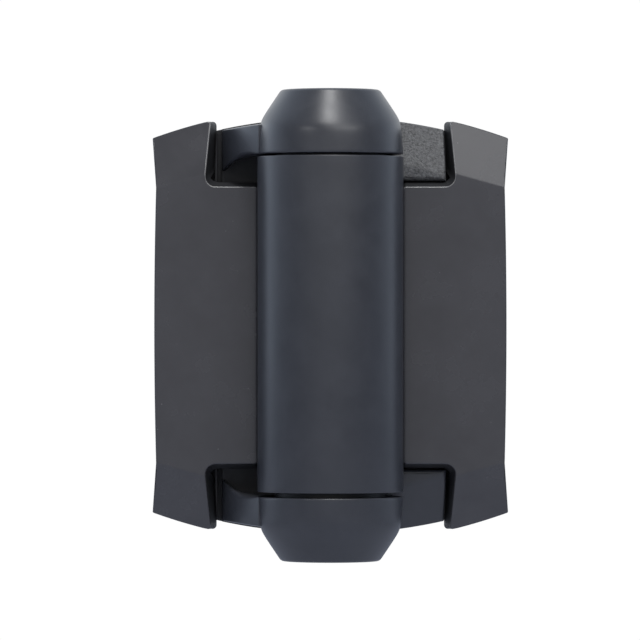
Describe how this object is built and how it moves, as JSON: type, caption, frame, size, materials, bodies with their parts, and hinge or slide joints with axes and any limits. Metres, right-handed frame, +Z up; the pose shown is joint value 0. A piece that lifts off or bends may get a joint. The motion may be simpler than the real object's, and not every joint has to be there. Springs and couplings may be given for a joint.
{
  "type": "self-closing gate hinge",
  "caption": "Surface-fixed black polymer gate hinge with a torsion spring in its barrel, an adjustable closing force and push-fit screw covers.",
  "frame": {"origin": "middle of the hinge, on the hinge axis at half height", "axes": "+Z up along the hinge axis, +X towards the gate leaf, +Y towards the post and the gate, so the barrel faces -Y"},
  "size_m": [0.1064, 0.0434, 0.14],
  "materials": {
    "post_leaf_nylon": "glass-filled nylon, moulded with a satin surface",
    "gate_leaf_nylon": "glass-filled nylon, satin barrel and grained shoulders",
    "cover_plastic": "moulded plastic with a smooth, slightly glossy surface",
    "moulded_nylon": "nylon, satin",
    "acetal": "acetal, smooth and waxy",
    "stainless_steel": "turned stainless steel",
    "spring_steel": "drawn stainless spring wire",
    "seal_rubber": "nitrile rubber"
  },
  "bodies": {
    "post": {"post_leaf": "post_leaf_nylon", "hinge_pin": "stainless_steel", "pin_plug": "moulded_nylon", "thrust_washer": "moulded_nylon", "adjuster_ring": "stainless_steel", "adjuster_collar": "moulded_nylon", "retaining_clip": "stainless_steel"},
    "gate": {"gate_leaf": "gate_leaf_nylon", "upper_bush": "acetal", "lower_bush": "acetal", "upper_washer": "moulded_nylon", "spring_anchor": "moulded_nylon", "spring_guide": "acetal", "torsion_spring": "spring_steel"},
    "adjuster": {"tension_adjuster": "moulded_nylon", "adjuster_seal": "seal_rubber"},
    "cover_on_post": {"post_cover": "cover_plastic"},
    "cover_on_gate": {"gate_cover": "cover_plastic"}
  },
  "joints": [
    {"name": "gate_swing", "type": "hinge", "parent": "post", "child": "gate", "pos_m": [0, 0, 0], "axis": [0, 0, -1], "range_deg": [0, 150], "stiffness_Nm_per_rad": 0.95, "springref_deg": -68.75, "deforming": ["torsion_spring"]},
    {"name": "adjuster_press", "type": "slide", "parent": "post", "child": "adjuster", "axis": [0, 0, -1], "range_m": [0, 0.004], "stiffness_N_per_m": 1500, "springref_m": -0.003},
    {"name": "post_cover_lift", "type": "slide", "parent": "post", "child": "cover_on_post", "axis": [0, -1, 0], "range_m": [0, 0.012]},
    {"name": "gate_cover_lift", "type": "slide", "parent": "gate", "child": "cover_on_gate", "axis": [0, -1, 0], "range_m": [0, 0.012]}
  ]
}
